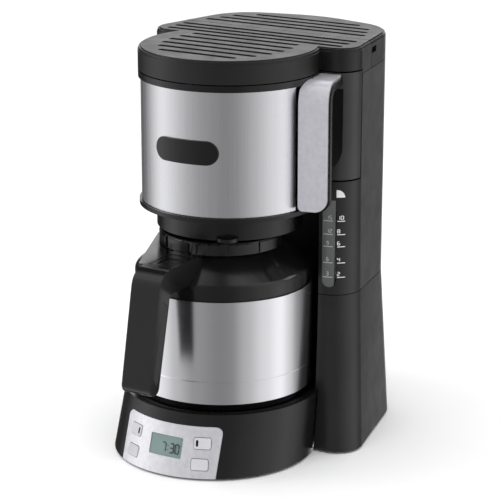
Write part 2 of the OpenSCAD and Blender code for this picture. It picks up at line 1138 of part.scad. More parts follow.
module drum_skin() {
  color([0.78, 0.78, 0.8])
    translate([0, drum_back, skin_z])
      rotate_extrude(angle = 2 * skin_half_angle, start = 270 - skin_half_angle)
        translate([liner_r, 0])
          square([skin_t, skin_top - skin_z]);
}

module drum_badge() {
  badge_z = skin_z + 53;
  color([0.07, 0.07, 0.08])
    intersection() {
      translate([0, drum_back, badge_z - 20])
        ring(skin_r + 1.4, skin_r + 0.1, 0, 40);
      translate([2.5, 0, badge_z])
        rotate([90, 0, 0])
          linear_extrude(120)
            union() {
              square([38, 19.6], center = true);
              for (side = [-1, 1])
                translate([side * 19, 0])
                  circle(r = 9.8, $fn = 48);
            }
    }
}

module door_wing() {
  color([0.11, 0.11, 0.12])
    difference() {
      intersection() {
        union() {
          upper_form(0);
          translate([0, 0, column_top - 0.4])
            linear_extrude(wing_top - column_top + 0.4)
              top_plan(0);
        }
        translate([wing_left, 0, wing_z])
          cube([60, wing_back, wing_top - wing_z]);
      }
      translate([0, drum_back, 0])
        cylinder(r = drum_r + 0.02, h = cover_top);
      translate([wing_left - 5, pillar_y + wing_t, wing_z - 1])
        cube([half_w - wing_left - wing_t + 9, 30, 200]);
      // slot for the arm of the handle
      handle_blade(-touch, plate_t, -touch, plate_w + touch, plate_low);
      // finger pocket with a round lower end
      translate([gauge_x - 1.7, pillar_y - pocket_r + pocket_depth, pocket_z]) {
        cylinder(r = pocket_r, h = bend_z + 6 - pocket_z);
        sphere(r = pocket_r);
      }
    }
}

// Side view of the handle: a straight blade that bends back at the top
module handle_profile(front, back, low) {
  translate([front, low])
    square([back - front, bend_z - low]);
  intersection() {
    translate([bend_r, bend_z])
      difference() {
        circle(r = bend_r - front);
        circle(r = bend_r - back);
      }
    translate([-5, bend_z])
      square([bend_r + 5, 40]);
  }
  translate([bend_r, bend_z + bend_r - back])
    square([arm_len - bend_r, back - front]);
}

module handle_blade(front, back, left, right, low) {
  translate([plate_x, plate_y, 0])
    rotate([0, 0, plate_angle])
      translate([left, 0, 0])
        rotate([90, 0, 90])
          linear_extrude(right - left)
            handle_profile(front, back, low);
}

module blade_trim(left, right, low, corner) {
  // rounds the free lower end
  translate([plate_x, plate_y, 0])
    rotate([0, 0, plate_angle])
      rotate([90, 0, 0])
        translate([0, 0, -80])
          linear_extrude(100)
            union() {
              translate([left, low + corner])
                square([right - left, 200]);
              translate([left + 4, low])
                square([right - left - 4 - corner, 30]);
              translate([right - corner, low + corner])
                circle(r = corner, $fn = 48);
              translate([left + 4, low + 4])
                circle(r = 4, $fn = 32);
              translate([left, low + 4])
                square([10, 30]);
            }
}

module door_handle_plate() {
  color([0.75, 0.74, 0.78])
    difference() {
      intersection() {
        handle_blade(0, plate_t, 0, plate_w, plate_low);
        blade_trim(0, plate_w, plate_low, 11);
      }
      translate([0, drum_back, 0])
        cylinder(r = drum_r + touch, h = cover_top);
      upper_form(0.02);
      handle_screw_holes(1.5);
    }
}

module door_handle_core() {
  color([0.05, 0.05, 0.055])
    difference() {
      intersection() {
        handle_blade(plate_t, plate_t + core_t, 3.4, plate_w + 1.6, plate_low - 0.8);
        blade_trim(3.4, plate_w + 1.6, plate_low - 0.8, 11);
      }
      translate([0, drum_back, 0])
        cylinder(r = drum_r + touch, h = cover_top);
      upper_form(0.02);
      handle_screw_holes(1.5);
    }
}

module handle_screw_spots() {
  for (z = [plate_low + 22, bend_z - 16])
    translate([plate_x, plate_y, 0])
      rotate([0, 0, plate_angle])
        translate([14, plate_t + core_t, z])
          rotate([90, 0, 0])
            children();
}

module handle_screw_holes(r) {
  handle_screw_spots()
    translate([0, 0, -1])
      cylinder(r = r, h = core_t + 2.4, $fn = 32);
}

module handle_screws() {
  color([0.68, 0.68, 0.7])
    handle_screw_spots() {
      translate([0, 0, 0])
        cylinder(r = 1.5, h = core_t + 1.4, $fn = 32);
      translate([0, 0, -1.4])
        cylinder(r = 3, h = 1.4, $fn = 32);
    }
}

module filter_basket() {
  low = drum_z + 2.6;
  high = drum_top - 9;
  color([0.16, 0.16, 0.17])
    translate([0, drum_back, 0])
      difference() {
        union() {
          translate([0, 0, low])
            cylinder(r1 = 46, r2 = 60, h = high - low);
          ring(66, 58, high - 3, high);
          translate([0, 0, drum_z - 8])
            cylinder(r = 14, h = 12);
          translate([0, 0, drum_z - 0.2])
            cylinder(r = 46, h = 4);
        }
        translate([0, 0, low + 2.4])
          cylinder(r1 = 43.8, r2 = 58.2, h = high - low);
        translate([0, 0, drum_z - 9])
          cylinder(r = 6.1, h = 30);
        translate([0, 0, drum_z - 8.1])
          cylinder(r = 11, h = 10);
      }
}

module mesh_filter() {
  low = drum_z + 10;
  high = drum_top - 12;
  color([0.7, 0.66, 0.5])
    translate([0, drum_back, 0])
      difference() {
        union() {
          translate([0, 0, low])
            cylinder(r1 = 34, r2 = 51, h = high - low);
          ring(56, 49, high - 2, high);
        }
        translate([0, 0, low + 1.2])
          cylinder(r1 = 33, r2 = 50, h = high - low);
      }
}

module drip_valve() {
  color([0.2, 0.2, 0.21])
    translate([0, drum_back, 0]) {
      translate([0, 0, drum_z + 5.2])
        cylinder(r = 9, h = 2);
      translate([0, 0, skirt_z + 1])
        cylinder(r = 6.1 - run_gap, h = drum_z + 5.4 - skirt_z - 1);
      translate([0, 0, skirt_z + 1])
        cylinder(r = 8.4, h = 2.4);
    }
}

module valve_spring() {
  spring_low = skirt_z + 3.5;
  spring_high = drum_z + 1.8;
  color([0.7, 0.7, 0.72])
    translate([0, drum_back, 0])
      for (i = [0:5])
        translate([0, 0, spring_low + 0.5 + i * (spring_high - spring_low - 1) / 5])
          rotate_extrude()
            translate([8, 0])
              circle(r = 0.45, $fn = 16);
  color([0.7, 0.7, 0.72])
    translate([-0.3, drum_back + 7.6, spring_low + 0.5])
      cube([0.6, 0.6, spring_high - spring_low - 1]);
}

// ---- jug ----

module jug_foot() {
  color([0.05, 0.05, 0.055])
    translate([0, 0, jug_z])
      difference() {
        union() {
          cylinder(r1 = jug_r - 3, r2 = jug_r - 1, h = jug_foot_h);
        }
        translate([0, 0, -1])
          cylinder(r = jug_r - 12, h = 3);
      }
}

module jug_shell() {
  color([0.8, 0.8, 0.82])
    difference() {
      union() {
        translate([0, 0, steel_z])
          cylinder(r = jug_r, h = jug_steel_h);
      }
      translate([0, 0, steel_z + 1])
        cylinder(r = jug_r - 1.2, h = jug_steel_h + 10);
      // the rolled line above the foot
      translate([0, 0, steel_z + 19])
        ring(jug_r + 5, jug_r - 0.5, 0, 1);
    }
}

module vessel(thin) {
  low = steel_z + 5 + thin;
  r1 = jug_r - 6 - thin;
  r2 = vessel_top_r - thin;
  r3 = neck_r - 5.5 - thin;
  translate([0, 0, low])
    cylinder(r = r1, h = steel_top - 7 - low);
  translate([0, 0, steel_top - 7])
    cylinder(r1 = r1, r2 = r2, h = 9);
  translate([0, 0, steel_top + 2])
    cylinder(r1 = r2, r2 = r3, h = dome_top - steel_top - 12);
  translate([0, 0, dome_top - 10.01])
    cylinder(r = r3, h = thin > 0 ? 4 : 1.3);
}

module jug_liner() {
  color([0.7, 0.7, 0.7])
    difference() {
      vessel(0);
      vessel(1.5);
    }
}

// Upright band, rounded shoulder and cone of the jug; thin moves the surface inwards
module shoulder_form(thin, low, high) {
  rotate_extrude()
    polygon(concat(
      [[0, low], [dome_r - thin, low]],
      arc([dome_r - round_r, steel_top + band_h], round_r - thin, 0, cone_tilt, 6),
      [[cone_top_r - thin, dome_top - thin], [cone_top_r - thin, high], [0, high]]
    ));
}

module jug_shoulder() {
  color([0.1, 0.1, 0.11])
    difference() {
      union() {
        // flange inside the steel rim
        translate([0, 0, steel_top - 5])
          cylinder(r = jug_r - 1.5, h = 4);
        shoulder_form(0, steel_top - 1.5, dome_top);
        // small pointer on the cone
        rotate([0, 0, -10])
          rotate([90, 0, 0])
            translate([0, 0, -1.6])
              linear_extrude(3.2)
                polygon([
                  [cone_top_r - 1, dome_top - 0.6], [cone_top_r + 3.4, dome_top - 1.2],
                  [cone_top_r + 14.5, dome_top - 11.5], [cone_top_r + 8, dome_top - 11.5]
                ]);
        // side guard between lid and handle
        guard();
      }
      shoulder_form(3, steel_top - 6, dome_top - 3);
      translate([0, 0, dome_top - 7.8])
        cylinder(r = neck_r - 3, h = 20);
    }
}

module guard() {
  // a low web from beside the lid to the left side of the handle
  translate([0, 0, dome_top - 6.5])
    linear_extrude(6.4)
      difference() {
        union() {
          hull() {
            translate([-(jug_lid_r + 0.5), -9])
              circle(r = 4.5, $fn = 32);
            translate([-grip_w / 2 - 5, -(jug_r + 15)])
              circle(r = 3.5, $fn = 32);
            translate([-grip_w / 2 - 2, -(jug_r - 35)])
              square([4, 8]);
          }
          translate([-(jug_lid_r + 0.5), -13.5])
            square([20, 9]);
        }
        circle(r = neck_r - 2);
        translate([-grip_w / 2, -200])
          square([100, 200]);
      }
}

// Side view of the jug handle: distance in front of the jug axis, and height
grip_top = dome_top + 1;
grip_low = steel_z + 28;
grip_reach = jug_r + 55.3;
grip_bend = [jug_r + 23, grip_top - 17];

module grip_outline() {
  polygon(concat(
    [[neck_r - 1, grip_top - 8], [neck_r - 1, grip_top]],
    arc(grip_bend, 17, 90, 8, 14),
    arc([grip_reach - 7, grip_low], 7, 8, -172, 14),
    arc([grip_bend[0] - 3.2, grip_top - 26.6], 6, -4, 90, 8),
    [[dome_r - 17, grip_top - 20.6]]
  ));
}

module grip_solid(half) {
  rotate([0, 0, -90])
    rotate([90, 0, 0])
      translate([0, 0, -half])
        linear_extrude(2 * half)
          grip_outline();
}

module jug_grip() {
  half = grip_w / 2;
  color([0.08, 0.08, 0.085])
    difference() {
      grip_solid(half);
      translate([0, 0, steel_top - 30])
        cylinder(r1 = jug_r + 0.2, r2 = jug_r + 0.2, h = 30.1);
      // follows the cone and the neck
      shoulder_form(-0.05, steel_top - 1.6, dome_top + 0.1);
      translate([0, 0, dome_top - 0.5])
        cylinder(r = jug_lid_r + 0.8, h = 30);
      guard();
      // pocket for the pour lever
      translate([-half + 3.5, -(jug_r + 20), dome_top - 7])
        cube([grip_w - 7, 34, 20]);
      // hole for the lever pin
      lever_pin_shape(2, 0, grip_w - 4);
      // groove that holds the insert
      for (side = [-1, 1])
        insert_shape(side, 0);
    }
}

lever_y = -(jug_r - 6);
lever_z = dome_top - 3.4;

module lever_pin_shape(r, grow, length) {
  translate([-length / 2, lever_y, lever_z])
    rotate([0, 90, 0])
      cylinder(r = r + grow, h = length, $fn = 48);
}

module insert_shape(side, grow) {
  translate([side * (grip_w / 2 - 0.6), 0, 0])
    rotate([0, 0, -90])
      rotate([90, 0, 0])
        translate([0, 0, -0.61])
          linear_extrude(1.22)
            polygon([
              [grip_bend[0] + 4.4, grip_top - 30], [grip_bend[0] + 11, grip_top - 24],
              [grip_reach - 6, grip_low + 8], [grip_reach - 9, grip_low + 1],
              [grip_reach - 12.4, grip_low + 4]
            ]);
}

module grip_insert() {
  color([0.3, 0.3, 0.31])
    for (side = [-1, 1])
      insert_shape(side, 0);
}

module pour_lever() {
  half = grip_w / 2 - 4;
  color([0.07, 0.07, 0.075])
    difference() {
      union() {
        translate([-half, -(jug_r + 18.5), dome_top - 2.2])
          cube([2 * half, 31, 3]);
        translate([-half, lever_y - 3, lever_z - 2.6])
          cube([2 * half, 6, 5]);
      }
      lever_pin_shape(2, run_gap, 60);
      translate([-half + 3, -(jug_r + 14), dome_top + 0.2])
        cube([2 * half - 6, 18, 2]);
    }
}

module pour_lever_pin() {
  color([0.66, 0.66, 0.68])
    lever_pin_shape(2, 0, grip_w - 4.2);
}

module jug_lid() {
  low = dome_top + 0.3;
  color([0.08, 0.08, 0.085])
    difference() {
      union() {
        translate([0, 0, low])
          cylinder(r = jug_lid_r - 1.2, h = jug_lid_top - low - 0.8);
        translate([0, 0, jug_lid_top - 0.81])
          cylinder(r1 = jug_lid_r - 1.2, r2 = jug_lid_r - 2, h = 0.8);
        translate([0, 0, low - 8])
          cylinder(r = neck_r - 4.2, h = 8.1);
        // grip blocks round the rim
        for (i = [0:11])
          rotate([0, 0, i * 30 + 8])
            translate([0, 0, low + 0.5])
              rotate_extrude(angle = 22)
                translate([jug_lid_r - 1.5, 0])
                  square([1.5, 8.6]);
      }
      // dished centre with the filling hole
      translate([0, 0, jug_lid_top - 4])
        cylinder(r1 = 16, r2 = 34, h = 4.1);
      translate([0, 0, low - 9])
        cylinder(r = 5, h = 30);
      translate([0, 0, low - 9])
        cylinder(r = neck_r - 9, h = 11);
    }
}

module jug_lid_seal() {
  color([0.75, 0.75, 0.75])
    translate([0, 0, dome_top - 5])
      ring(neck_r - 3.4, neck_r - 4.2, 0, 2.4);
}

// ---- assembly ----

place() base_pan();
place() rubber_feet();
place() base_screws();
place() base_housing();
place() jug_deck();
place() control_fascia();
place() display_window();
place() display_module();
place() control_board();
place() board_screws();
place() power_button();
place() power_lens();
place() timer_button();
place() strength_button();
place() strength_lens();
place() clock_button();
place() flow_heater();
place() heater_clamps();
place() thermostat();
place() cord_gland();
place() column_lower();
place() tank_housing();
place() water_tank();
place() check_valve();
place() inlet_hose();
place() riser_tube();
place() gauge_window();
place() gauge_marks();
place() top_cover();
place() spray_arm();
place() spray_head();
place() tank_lid();
place() tank_lid_pin();
place() door_hinge_pin();
place() door_shell();
place() drum_skin();
place() drum_badge();
place() door_wing();
place() door_handle_core();
place() door_handle_plate();
place() handle_screws();
place() filter_basket();
place() mesh_filter();
place() drip_valve();
place() valve_spring();
place() jug_foot();
place() jug_shell();
place() jug_liner();
place() jug_shoulder();
place() jug_grip();
place() grip_insert();
place() pour_lever();
place() pour_lever_pin();
place() jug_lid();
place() jug_lid_seal();
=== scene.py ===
"""Drip coffee maker with a thermal jug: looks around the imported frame.

Metres, +Z up, front towards -Y.
"""

import math

import bmesh
import bpy
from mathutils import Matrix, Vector
from mathutils.bvhtree import BVHTree


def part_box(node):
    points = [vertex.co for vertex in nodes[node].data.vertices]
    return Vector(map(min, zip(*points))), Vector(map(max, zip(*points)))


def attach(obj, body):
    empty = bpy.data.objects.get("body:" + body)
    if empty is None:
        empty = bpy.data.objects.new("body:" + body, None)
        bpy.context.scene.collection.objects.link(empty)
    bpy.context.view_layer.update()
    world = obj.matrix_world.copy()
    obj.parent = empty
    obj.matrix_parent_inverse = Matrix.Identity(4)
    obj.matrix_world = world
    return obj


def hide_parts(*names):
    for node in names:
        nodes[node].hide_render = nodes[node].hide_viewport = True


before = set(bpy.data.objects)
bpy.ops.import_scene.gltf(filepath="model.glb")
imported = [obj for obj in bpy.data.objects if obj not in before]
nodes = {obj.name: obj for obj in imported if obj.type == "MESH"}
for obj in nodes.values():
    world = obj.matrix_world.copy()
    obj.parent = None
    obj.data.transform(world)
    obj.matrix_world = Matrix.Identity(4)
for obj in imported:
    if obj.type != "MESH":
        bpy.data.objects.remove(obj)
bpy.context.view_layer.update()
scene = bpy.context.scene
MM = 0.001


# ---- materials ----


class Graph:
    """A material's node tree, with short calls for the nodes used here."""

    def __init__(self, name):
        self.mat = bpy.data.materials.new(name)
        self.mat.use_nodes = True
        self.tree = self.mat.node_tree
        self.shader = self.tree.nodes["Principled BSDF"]
        self.coord = self.tree.nodes.new("ShaderNodeTexCoord").outputs["Object"]

    def link(self, a, b):
        self.tree.links.new(a, b)

    def noise(self, stretch, detail=4.0, rough=0.55):
        mapping = self.tree.nodes.new("ShaderNodeMapping")
        mapping.inputs["Scale"].default_value = stretch
        noise = self.tree.nodes.new("ShaderNodeTexNoise")
        noise.inputs["Scale"].default_value = 1.0
        noise.inputs["Detail"].default_value = detail
        noise.inputs["Roughness"].default_value = rough
        self.link(self.coord, mapping.inputs["Vector"])
        self.link(mapping.outputs["Vector"], noise.inputs["Vector"])
        return noise.outputs["Fac"]

    def ramp(self, value, stops):
        node = self.tree.nodes.new("ShaderNodeValToRGB")
        while len(node.color_ramp.elements) < len(stops):
            node.color_ramp.elements.new(0.5)
        for element, (at, colour) in zip(node.color_ramp.elements, stops):
            element.position = at
            element.color = (*colour, 1)
        self.link(value, node.inputs["Fac"])
        return node.outputs["Color"]

    def spread(self, value, low, high):
        node = self.tree.nodes.new("ShaderNodeMapRange")
        node.inputs["From Min"].default_value = 0.3
        node.inputs["From Max"].default_value = 0.7
        node.inputs["To Min"].default_value = low
        node.inputs["To Max"].default_value = high
        self.link(value, node.inputs["Value"])
        return node.outputs["Result"]

    def bump(self, value, strength, distance):
        node = self.tree.nodes.new("ShaderNodeBump")
        node.inputs["Strength"].default_value = strength
        node.inputs["Distance"].default_value = distance
        self.link(value, node.inputs["Height"])
        self.link(node.outputs["Normal"], self.shader.inputs["Normal"])

    def tone(self, value, stops):
        self.link(self.ramp(value, stops), self.shader.inputs["Base Color"])

    def gloss(self, value, low, high):
        self.link(self.spread(value, low, high), self.shader.inputs["Roughness"])

    def set(self, **values):
        for name, value in values.items():
            self.shader.inputs[name.replace("_", " ")].default_value = value


def shade(colour, factor):
    return tuple(min(1.0, c * factor) for c in colour)


def plastic(name, colour, low=0.28, high=0.36, grain=900, strength=0.12, coat=0.0, shine=0.5):
    """Moulded plastic: a fine eroded grain, with slow drifts of tone and gloss."""
    g = Graph(name)
    drift = g.noise((22, 22, 22), 3)
    g.tone(drift, [(0.3, shade(colour, 0.86)), (0.7, shade(colour, 1.16))])
    g.gloss(g.noise((60, 60, 60), 5), low, high)
    g.bump(g.noise((grain, grain, grain), 2), strength, 0.00006)
    g.set(Specular_IOR_Level=shine, Coat_Weight=coat, Coat_Roughness=0.12)
    return g.mat


def brushed(name, colour, stretch, broad, low, high, turn, contrast, depth):
    """Brushed sheet metal: hair lines along the short side of stretch, over slower streaks."""
    g = Graph(name)
    hair = g.noise(stretch, 3, 0.7)
    streak = g.noise(broad, 4)
    mixed = g.tree.nodes.new("ShaderNodeMix")
    mixed.data_type = "FLOAT"
    mixed.inputs["Factor"].default_value = 0.4
    g.link(hair, mixed.inputs["A"])
    g.link(streak, mixed.inputs["B"])
    value = mixed.outputs["Result"]
    dark, light = shade(colour, 1 - contrast), shade(colour, 1 + contrast / 2)
    g.tone(value, [(0.32, dark), (0.68, light)])
    g.gloss(value, low, high)
    g.bump(hair, depth, 0.00004)
    g.set(Metallic=1.0, Anisotropic=0.65, Anisotropic_Rotation=turn)
    tangent = g.tree.nodes.new("ShaderNodeTangent")
    tangent.direction_type = "RADIAL"
    tangent.axis = "Z"
    g.link(tangent.outputs["Tangent"], g.shader.inputs["Tangent"])
    return g.mat


def metal(name, colour, low, high, size=260, metallic=1.0):
    """Plated or cast metal with faint clouding and fine texture."""
    g = Graph(name)
    cloud = g.noise((size, size, size), 4)
    g.tone(cloud, [(0.3, shade(colour, 0.92)), (0.7, shade(colour, 1.05))])
    g.gloss(cloud, low, high)
    g.bump(g.noise((1600, 1600, 1600), 2), 0.05, 0.00003)
    g.set(Metallic=metallic)
    return g.mat


def clear(name, colour, rough, through):
    """See-through moulded plastic with a slight cloudiness."""
    g = Graph(name)
    g.tone(g.noise((40, 40, 40), 3), [(0.3, shade(colour, 0.9)), (0.7, shade(colour, 1.1))])
    g.gloss(g.noise((90, 90, 90), 3), rough, rough + 0.06)
    g.bump(g.noise((500, 500, 500), 2), 0.04, 0.00004)
    g.set(Transmission_Weight=through, IOR=1.49)
    return g.mat


def mesh_cloth(name, colour):
    """Fine woven metal mesh, drawn as two crossed wave bands."""
    g = Graph(name)
    heights = []
    for axis in ("Z", "X"):
        wave = g.tree.nodes.new("ShaderNodeTexWave")
        wave.bands_direction = axis
        wave.inputs["Scale"].default_value = 260
        wave.inputs["Distortion"].default_value = 0.4
        g.link(g.coord, wave.inputs["Vector"])
        heights.append(wave.outputs["Fac"])
    cross = g.tree.nodes.new("ShaderNodeMath")
    cross.operation = "MAXIMUM"
    g.link(heights[0], cross.inputs[0])
    g.link(heights[1], cross.inputs[1])
    g.tone(cross.outputs["Value"], [(0.35, shade(colour, 0.3)), (0.8, colour)])
    g.bump(cross.outputs["Value"], 0.5, 0.0002)
    g.set(Metallic=1.0, Roughness=0.35)
    return g.mat


black = plastic("black_abs", (0.0062, 0.0062, 0.0065), 0.20, 0.28)
gloss = plastic("gloss_black", (0.0050, 0.0050, 0.0052), 0.13, 0.19, 700, 0.06)
deep = plastic("deep_black", (0.0026, 0.0026, 0.0028), 0.22, 0.30)
side_black = plastic("column_black", (0.0125, 0.0125, 0.0128), 0.32, 0.42, 800, 0.16)
soft_black = plastic("soft_black", (0.011, 0.011, 0.0115), 0.34, 0.44, 700, 0.18)
wing_black = plastic("wing_black", (0.026, 0.026, 0.0265), 0.30, 0.38, 800, 0.14)
top_black = plastic("cover_black", (0.0085, 0.0085, 0.009), 0.34, 0.44, 800, 0.16, 0.0, 0.42)
matt = plastic("matt_black", (0.012, 0.012, 0.013), 0.5, 0.62, 600, 0.3)
rubber = plastic("rubber", (0.012, 0.012, 0.012), 0.6, 0.75, 500, 0.35)
silver_key = plastic("silver_key", (0.56, 0.56, 0.58), 0.3, 0.4, 1200, 0.08, 0.2)
white_ink = plastic("white_ink", (0.75, 0.75, 0.74), 0.4, 0.5, 900, 0.05)
grey_ink = plastic("grey_ink", (0.42, 0.42, 0.42), 0.4, 0.5, 900, 0.05)
silicone = plastic("silicone", (0.6, 0.6, 0.57), 0.4, 0.55, 500, 0.15)
green_board = plastic("board", (0.03, 0.14, 0.06), 0.35, 0.5, 700, 0.2)
bakelite = plastic("bakelite", (0.10, 0.07, 0.05), 0.4, 0.5, 700, 0.2)
pale_part = plastic("pale_part", (0.6, 0.6, 0.57), 0.4, 0.5, 600, 0.15)
lcd = plastic("lcd_glass", (0.175, 0.245, 0.232), 0.18, 0.26, 900, 0.02, 0.3)
lcd_ink = plastic("lcd_ink", (0.030, 0.042, 0.040), 0.4, 0.5, 900, 0.02)
steel_v = brushed(
    "drum_steel", (0.80, 0.80, 0.82), (1700, 1700, 9), (240, 240, 2), 0.24, 0.31, 0.0, 0.07, 0.06
)
steel_h = brushed(
    "jug_steel", (0.82, 0.82, 0.84), (9, 9, 2100), (2, 2, 900), 0.21, 0.26, 0.25, 0.035, 0.025
)
steel_in = brushed(
    "liner_steel", (0.62, 0.62, 0.64), (9, 9, 1800), (2, 2, 260), 0.25, 0.36, 0.25, 0.1, 0.08
)
fascia_metal = metal("fascia_metal", (0.74, 0.74, 0.77), 0.36, 0.44, metallic=0.5)
handle_silver = metal("handle_silver", (0.66, 0.65, 0.70), 0.30, 0.38, metallic=0.45)
zinc = metal("zinc", (0.6, 0.6, 0.62), 0.3, 0.42)
cast = metal("cast_aluminium", (0.62, 0.62, 0.62), 0.45, 0.6, 120)
gold_mesh = mesh_cloth("gold_mesh", (0.76, 0.60, 0.32))
tank_clear = clear("tank_clear", (0.35, 0.38, 0.42), 0.10, 0.75)
gauge_tint = plastic("gauge_tint", (0.115, 0.117, 0.118), 0.16, 0.24, 600, 0.04, 0.3)

# each node's material, and the width in mm that its sharp edges are rounded over
LOOK = {
    "base_pan": (matt, 0.5),
    "rubber_feet": (rubber, 0.5),
    "base_screws": (zinc, 0),
    "base_housing": (black, 0.7),
    "jug_deck": (deep, 0.4),
    "control_fascia": (fascia_metal, 0.35),
    "display_window": (lcd, 0.15),
    "display_module": (matt, 0),
    "control_board": (green_board, 0),
    "board_screws": (zinc, 0),
    "power_button": (silver_key, 0.5),
    "power_lens": (deep, 0.15),
    "timer_button": (silver_key, 0.5),
    "strength_button": (silver_key, 0.5),
    "strength_lens": (deep, 0.15),
    "clock_button": (silver_key, 0.5),
    "flow_heater": (cast, 0),
    "heater_clamps": (zinc, 0),
    "thermostat": (bakelite, 0.5),
    "cord_gland": (rubber, 0.5),
    "column_lower": (side_black, 0.6),
    "tank_housing": (side_black, 0.4),
    "water_tank": (tank_clear, 0.4),
    "check_valve": (pale_part, 0.3),
    "inlet_hose": (silicone, 0),
    "riser_tube": (silicone, 0),
    "gauge_window": (gauge_tint, 0.3),
    "gauge_marks": (white_ink, 0),
    "top_cover": (top_black, 0.6),
    "spray_arm": (pale_part, 0.4),
    "spray_head": (soft_black, 0.4),
    "tank_lid": (top_black, 0.6),
    "tank_lid_pin": (zinc, 0),
    "door_hinge_pin": (zinc, 0),
    "door_shell": (deep, 0.5),
    "drum_skin": (steel_v, 0.12),
    "drum_badge": (deep, 0.35),
    "door_wing": (wing_black, 0.9),
    "door_handle_core": (deep, 0.7),
    "door_handle_plate": (handle_silver, 0.7),
    "handle_screws": (zinc, 0.2),
    "filter_basket": (soft_black, 0.5),
    "mesh_filter": (gold_mesh, 0.2),
    "drip_valve": (soft_black, 0.4),
    "valve_spring": (zinc, 0),
    "jug_foot": (deep, 0.6),
    "jug_shell": (steel_h, 0.3),
    "jug_liner": (steel_in, 0),
    "jug_shoulder": (gloss, 0.5),
    "jug_grip": (gloss, 2.4),
    "grip_insert": (soft_black, 0.3),
    "pour_lever": (deep, 0.7),
    "pour_lever_pin": (zinc, 0),
    "jug_lid": (gloss, 0.5),
    "jug_lid_seal": (silicone, 0),
}


WELD_DISTANCE = 2e-6
FLAT_ANGLE = math.radians(0.6)
EDGE_ANGLE = math.radians(38)


def finish_surface(obj, width):
    """Rounds a CAD node's sharp edges and evens its shading. Its points stay where they are."""
    weld = obj.modifiers.new("weld", "WELD")
    weld.merge_threshold = WELD_DISTANCE
    flat = obj.modifiers.new("planar", "DECIMATE")
    flat.decimate_type = "DISSOLVE"
    flat.angle_limit = FLAT_ANGLE
    if width:
        bevel = obj.modifiers.new("edge", "BEVEL")
        bevel.width = width * MM
        bevel.segments = 3
        bevel.limit_method = "ANGLE"
        bevel.angle_limit = EDGE_ANGLE
        bevel.use_clamp_overlap = True
        bevel.miter_outer = "MITER_ARC"
    even = obj.modifiers.new("even", "WEIGHTED_NORMAL")
    even.keep_sharp = False
    even.weight = 60
    for polygon in obj.data.polygons:
        polygon.use_smooth = True
    if obj.data.has_custom_normals:
        free = obj.data.attributes.get("custom_normal")
        if free is not None:
            obj.data.attributes.remove(free)


for name, obj in nodes.items():
    material, width = LOOK[name]
    obj.data.materials.clear()
    obj.data.materials.append(material)
    finish_surface(obj, width)


# ---- small printed pieces, laid on the CAD faces ----

SEGMENTS = {
    "0": "abcdef",
    "1": "bc",
    "2": "abdeg",
    "3": "abcdg",
    "4": "bcfg",
    "5": "acdfg",
    "6": "acdefg",
    "7": "abc",
    "8": "abcdefg",
    "9": "abcdfg",
}


def segment_shapes(char, w, h, t):
    """Outlines of a numeral's strokes in a w by h cell, mitred as a display's are."""
    a = t / 2
    half = h / 2
    strokes = {
        "a": ((0, h), (w, h)),
        "d": ((0, 0), (w, 0)),
        "g": ((0, half), (w, half)),
        "f": ((0, half), (0, h)),
        "e": ((0, 0), (0, half)),
        "b": ((w, half), (w, h)),
        "c": ((w, 0), (w, half)),
    }
    shapes = []
    for key in SEGMENTS[char]:
        (x0, y0), (x1, y1) = strokes[key]
        if y0 == y1:
            shapes.append(
                [
                    (x0 + a * 0.2, y0),
                    (x0 + a, y0 + a),
                    (x1 - a, y0 + a),
                    (x1 - a * 0.2, y0),
                    (x1 - a, y0 - a),
                    (x0 + a, y0 - a),
                ]
            )
        else:
            shapes.append(
                [
                    (x0, y0 + a * 0.2),
                    (x0 + a, y0 + a),
                    (x0 + a, y1 - a),
                    (x0, y1 - a * 0.2),
                    (x0 - a, y1 - a),
                    (x0 - a, y0 + a),
                ]
            )
    return shapes


def prism(bm, front, back):
    """Adds a closed prism between two rings of points."""
    front = [bm.verts.new(point) for point in front]
    back = [bm.verts.new(point) for point in back]
    bm.faces.new(front)
    bm.faces.new(list(reversed(back)))
    for i in range(len(front)):
        k = (i + 1) % len(front)
        bm.faces.new((front[k], front[i], back[i], back[k]))


def place(name, bm, material, body):
    """Turns a bmesh into a named piece that rides on a body."""
    bmesh.ops.recalc_face_normals(bm, faces=bm.faces)
    data = bpy.data.meshes.new(name)
    bm.to_mesh(data)
    bm.free()
    data.materials.append(material)
    obj = bpy.data.objects.new(name, data)
    scene.collection.objects.link(obj)
    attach(obj, body)
    return obj


def lay(name, shapes, origin, right, up, out, thick, material, body):
    """One piece made of thin prisms. Shapes are in mm on the plane of right and up."""
    bm = bmesh.new()
    for shape in shapes:
        foot = [origin + right * (x * MM) + up * (y * MM) for x, y in shape]
        prism(bm, [point + out * thick for point in foot], foot)
    place(name, bm, material, body)


def ray_target(node):
    """A CAD node's faces as a target for rays."""
    data = nodes[node].data
    return BVHTree.FromPolygons(
        [v.co.copy() for v in data.vertices], [tuple(p.vertices) for p in data.polygons]
    )


BACKWARD = Vector((0, 1, 0))


def numeral_cells(text, w, h, t, gap):
    """Outlines of a row of numerals from x = 0, and the row's width."""
    shapes, x = [], 0.0
    for char in text:
        if char == ":":
            s = t * 0.8
            for y in (h * 0.28, h * 0.72):
                foot, head = y - s / 2, y + s / 2
                shapes.append([(x, foot), (x + s, foot), (x + s, head), (x, head)])
            x += s + gap
            continue
        shapes += [[(x + px, py) for px, py in s] for s in segment_shapes(char, w, h, t)]
        x += w + gap
    return shapes, x - gap


# clock display: the time, set to the right as a display shows it
digit_w, digit_h, digit_stroke, digit_gap = 3.5, 7.4, 1.0, 1.6
digits_right, digits_drop = 13.0, 4.6
digits_lift, digits_thick = 0.00004, 0.0001

